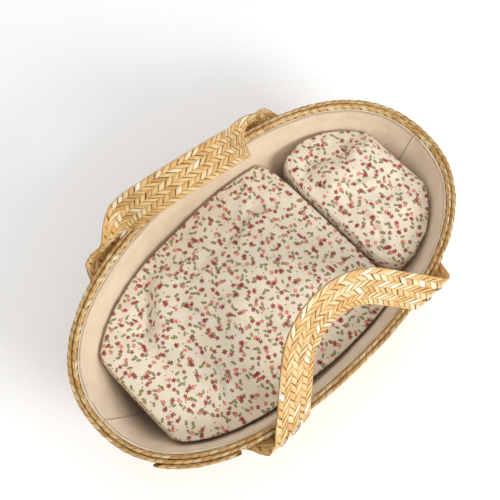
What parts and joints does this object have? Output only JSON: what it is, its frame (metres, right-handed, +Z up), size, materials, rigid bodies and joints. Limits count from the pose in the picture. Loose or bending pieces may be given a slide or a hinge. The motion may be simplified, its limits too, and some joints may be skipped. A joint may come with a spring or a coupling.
{
  "type": "moses basket",
  "caption": "Oval doll-size carry basket of plaited straw with a cotton lining, two swinging strap handles, a mattress, a duvet and a pillow.",
  "frame": {"origin": "middle of the basket's underside, on the resting face", "axes": "+Z up out of the basket, +X towards the head end where the pillow lies, +Y towards the basket's left side"},
  "size_m": [0.48, 0.2939, 0.2266],
  "materials": {
    "straw": "plaited straw, satin, golden with brown gaps",
    "strap": "plaited straw, satin, golden with some bleached strands",
    "lining": "plain woven cotton, matt, sand",
    "plain_cotton": "plain woven cotton, matt, off-white",
    "printed_cotton": "fine woven cotton with a small all-over flower print",
    "filling": "white polyester wadding and foam"
  },
  "bodies": {
    "basket": {"base_plait_centre": "straw", "base_plait_ring": "straw", "wall_plait_row_1": "straw", "wall_plait_row_2": "straw", "wall_plait_row_3": "straw", "wall_plait_row_4": "straw", "rim_plait": "straw", "rim_plait_tail": "straw", "lining_floor_panel": "lining", "lining_side_left": "lining", "lining_side_right": "lining", "mattress_cover": "plain_cotton", "mattress_foam": "filling", "left_handle_tab_head": "strap", "left_handle_tab_foot": "strap", "right_handle_tab_head": "strap", "right_handle_tab_foot": "strap"},
    "left_handle": {"left_handle_strap": "strap"},
    "right_handle": {"right_handle_strap": "strap"},
    "duvet": {"duvet_cover": "printed_cotton", "duvet_wadding": "filling"},
    "pillow": {"pillow_cover": "printed_cotton", "pillow_wadding": "filling"}
  },
  "joints": [
    {"name": "left_handle_swing", "type": "hinge", "parent": "basket", "child": "left_handle", "pos_m": [0, 0.13843, 0.1436], "axis": [-1, 0, 0], "range_deg": [-31, 165]},
    {"name": "right_handle_swing", "type": "hinge", "parent": "basket", "child": "right_handle", "pos_m": [0, -0.13843, 0.1436], "axis": [1, 0, 0], "range_deg": [-38, 180]},
    {"name": "duvet_lift", "type": "slide", "parent": "basket", "child": "duvet", "axis": [0, 0, 1], "range_m": [0, 0.025]},
    {"name": "pillow_lift", "type": "slide", "parent": "basket", "child": "pillow", "axis": [0, 0, 1], "range_m": [0, 0.2]}
  ]
}
